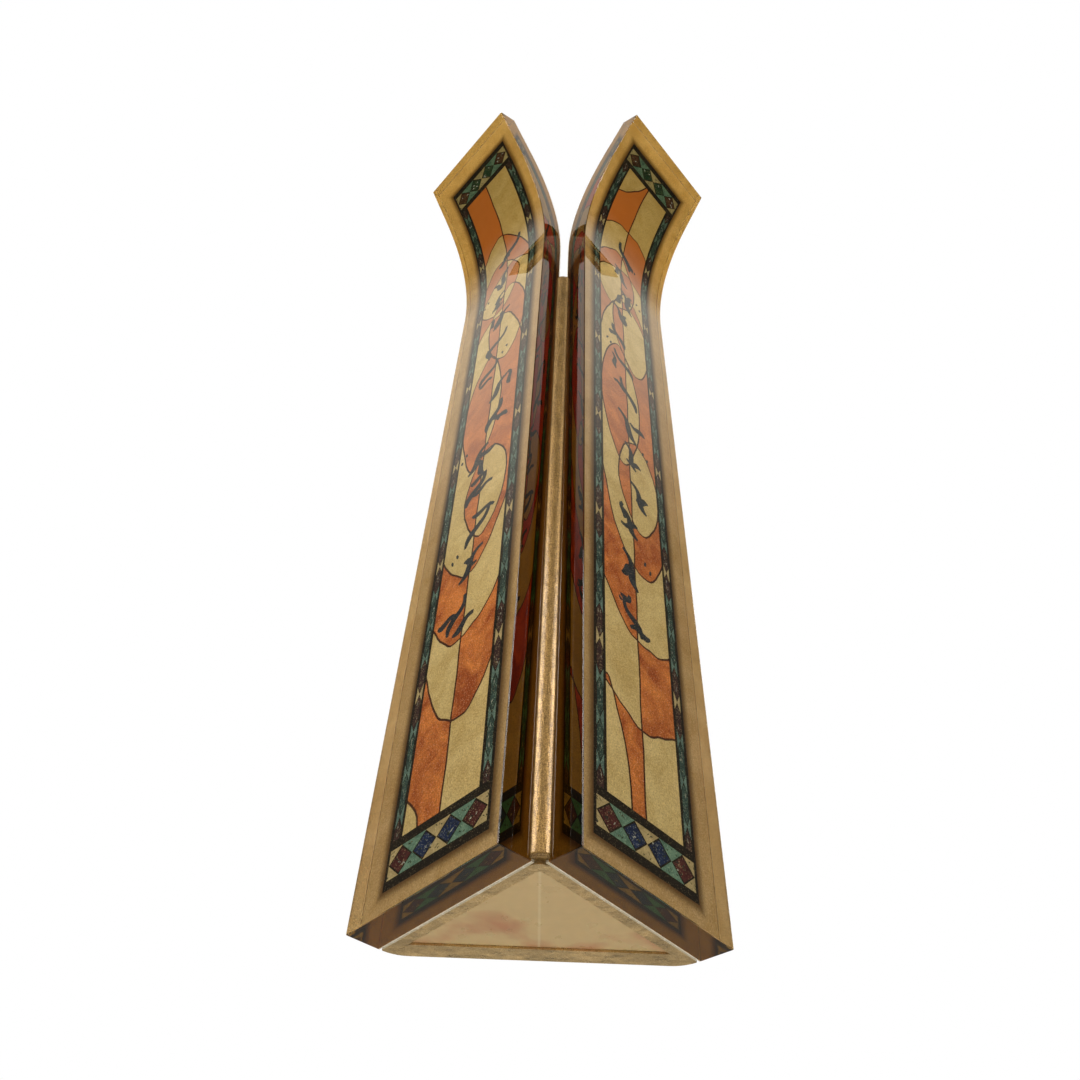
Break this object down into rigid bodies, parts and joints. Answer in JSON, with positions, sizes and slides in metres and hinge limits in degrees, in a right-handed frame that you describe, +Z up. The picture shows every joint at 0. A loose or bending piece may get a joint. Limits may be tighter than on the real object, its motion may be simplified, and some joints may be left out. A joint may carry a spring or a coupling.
{
  "type": "mezuzah case",
  "caption": "Wall-hung triangular prayer-scroll case with two thick clear printed face slabs whose heads bend outwards, and a pull-out bottom plug.",
  "frame": {"origin": "centre of the mounting tape's outer face, which lies on the doorpost", "axes": "+Z up along the case, +Y into the doorpost, +X to the right of someone facing the case"},
  "size_m": [0.0736, 0.0389, 0.2106],
  "materials": {
    "body_metal": "champagne metallic lacquer, satin",
    "plug_plastic": "cast, matt, beige",
    "bead_gold": "metallic gold relief paste, glossy",
    "clear_acrylic": "clear, polished",
    "printed_film": "colour print with metallic gold margin",
    "bond_adhesive": "adhesive transfer film",
    "foam_tape": "white foam, double sided adhesive",
    "parchment": "matt parchment, blank",
    "sleeve_film": "waxed paper, slightly translucent"
  },
  "bodies": {
    "case": {"body_shell": "body_metal", "back_plate": "body_metal", "top_plug": "plug_plastic", "ridge_bead": "bead_gold", "left_slab": "clear_acrylic", "right_slab": "clear_acrylic", "left_print": "printed_film", "right_print": "printed_film", "left_bond_film": "bond_adhesive", "right_bond_film": "bond_adhesive", "mounting_tape": "foam_tape"},
    "plug": {"bottom_plug": "plug_plastic"},
    "scroll": {"scroll_parchment": "parchment", "scroll_sleeve": "sleeve_film"}
  },
  "joints": [
    {"name": "plug_pull", "type": "slide", "parent": "case", "child": "plug", "axis": [0, 0, -1], "range_m": [0, 0.15]},
    {"name": "scroll_slide", "type": "slide", "parent": "case", "child": "scroll", "axis": [0, 0, -1], "range_m": [0, 0.1305]}
  ],
  "couplings": [
    {"joint": "scroll_slide", "follows": "plug_pull", "ratio": 0.87}
  ]
}
